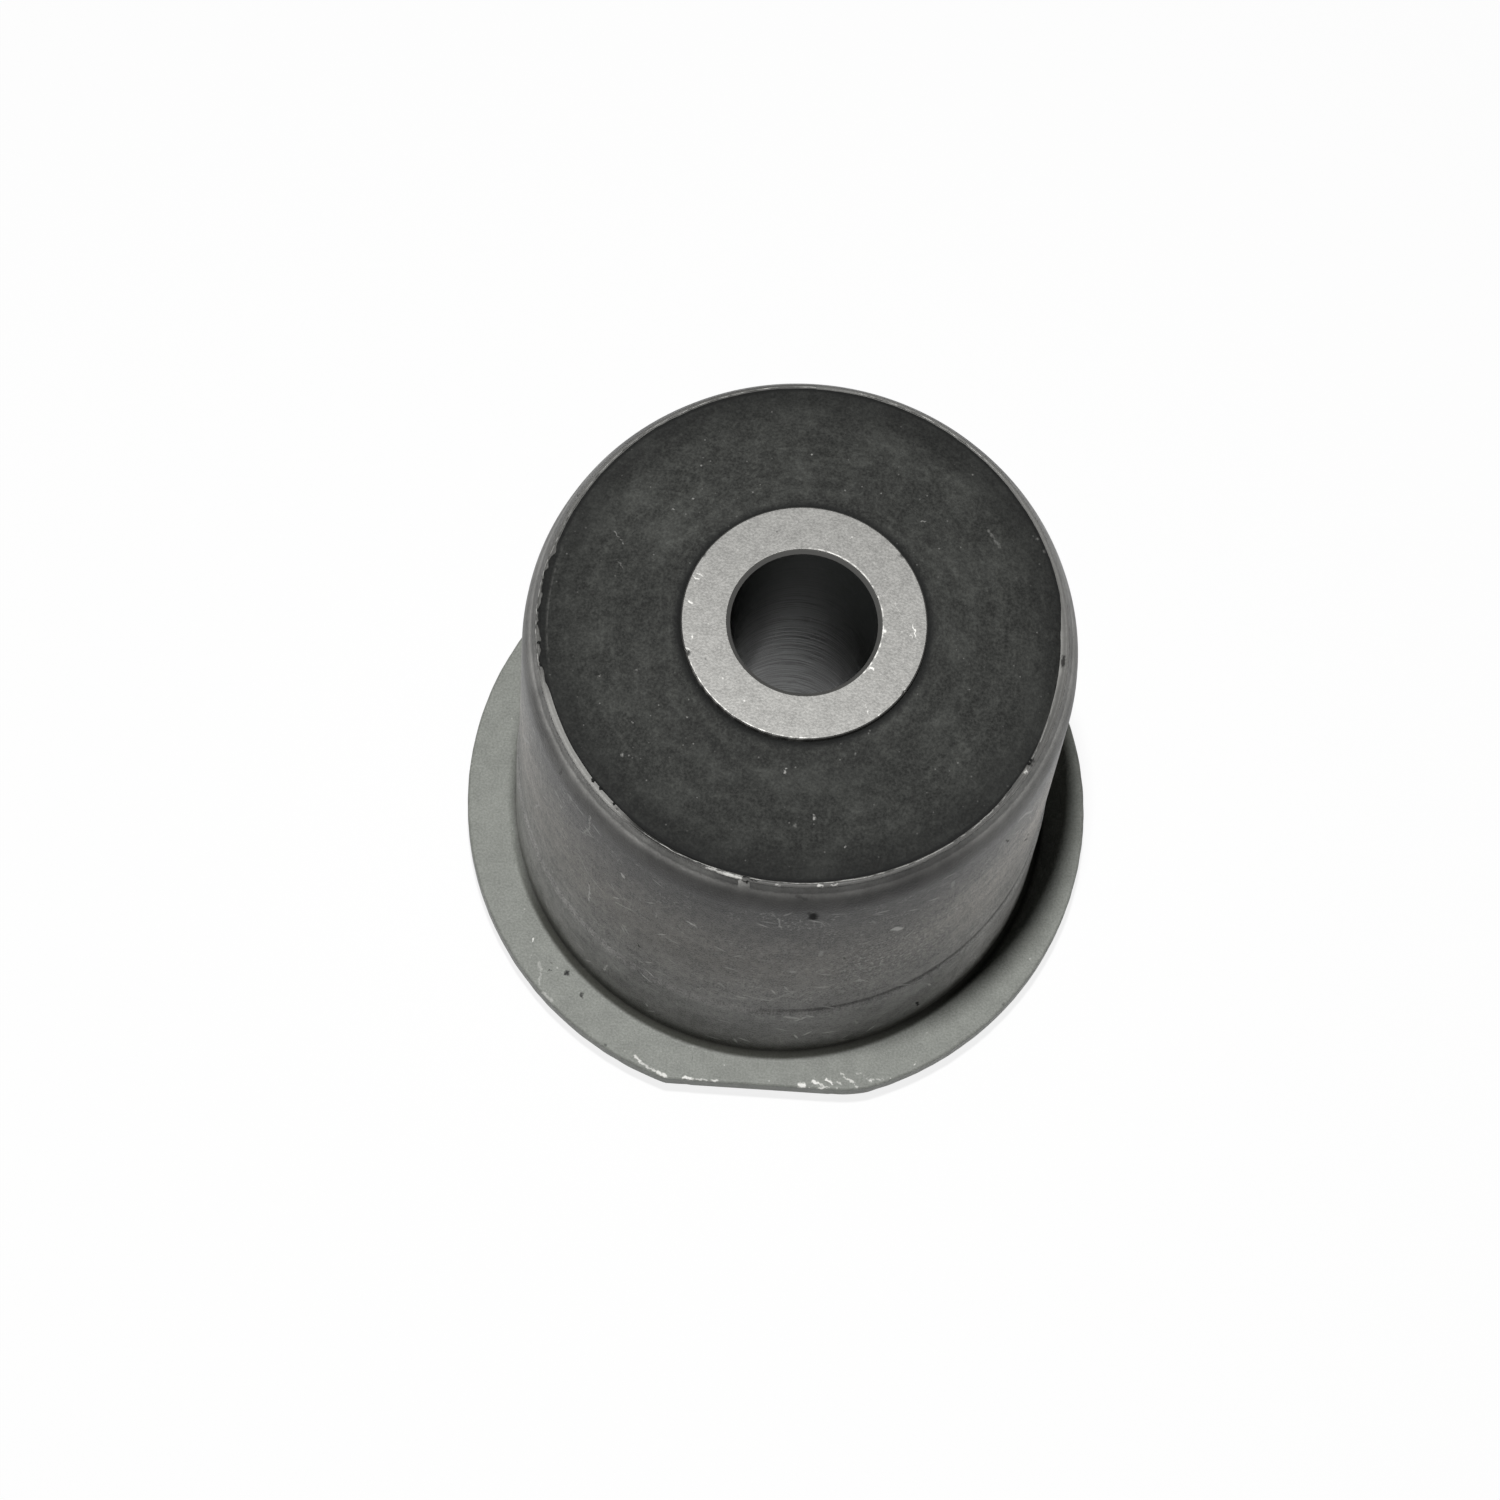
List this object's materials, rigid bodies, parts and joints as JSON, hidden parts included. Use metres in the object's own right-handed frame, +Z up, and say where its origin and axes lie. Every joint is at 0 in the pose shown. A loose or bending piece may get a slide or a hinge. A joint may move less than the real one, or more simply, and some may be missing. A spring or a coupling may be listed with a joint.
{
  "type": "rubber metal bush",
  "caption": "Flanged rubber metal bush: a thick inner sleeve bonded in rubber inside a deep-drawn steel outer sleeve that is pressed into a suspension arm.",
  "frame": {"origin": "on the bore's axis, in the plane of the inner sleeve's lower end face, which the bush stands on", "axes": "+Z up the bore, from the flanged end to the swaged end; the flat on the flange faces -Y"},
  "size_m": [0.055, 0.0537, 0.051],
  "materials": {
    "turned_steel": "fine matt grey, phosphated, with a bright worn outer edge",
    "drawn_steel": "grey phosphated sheet, satin on the drawn wall, matt on the flange, scuffed",
    "bonded_rubber": "matt charcoal rubber with a dusty bloom"
  },
  "bodies": {
    "root": {"inner_sleeve": "turned_steel", "outer_sleeve": "drawn_steel", "rubber_element": "bonded_rubber"}
  },
  "joints": []
}
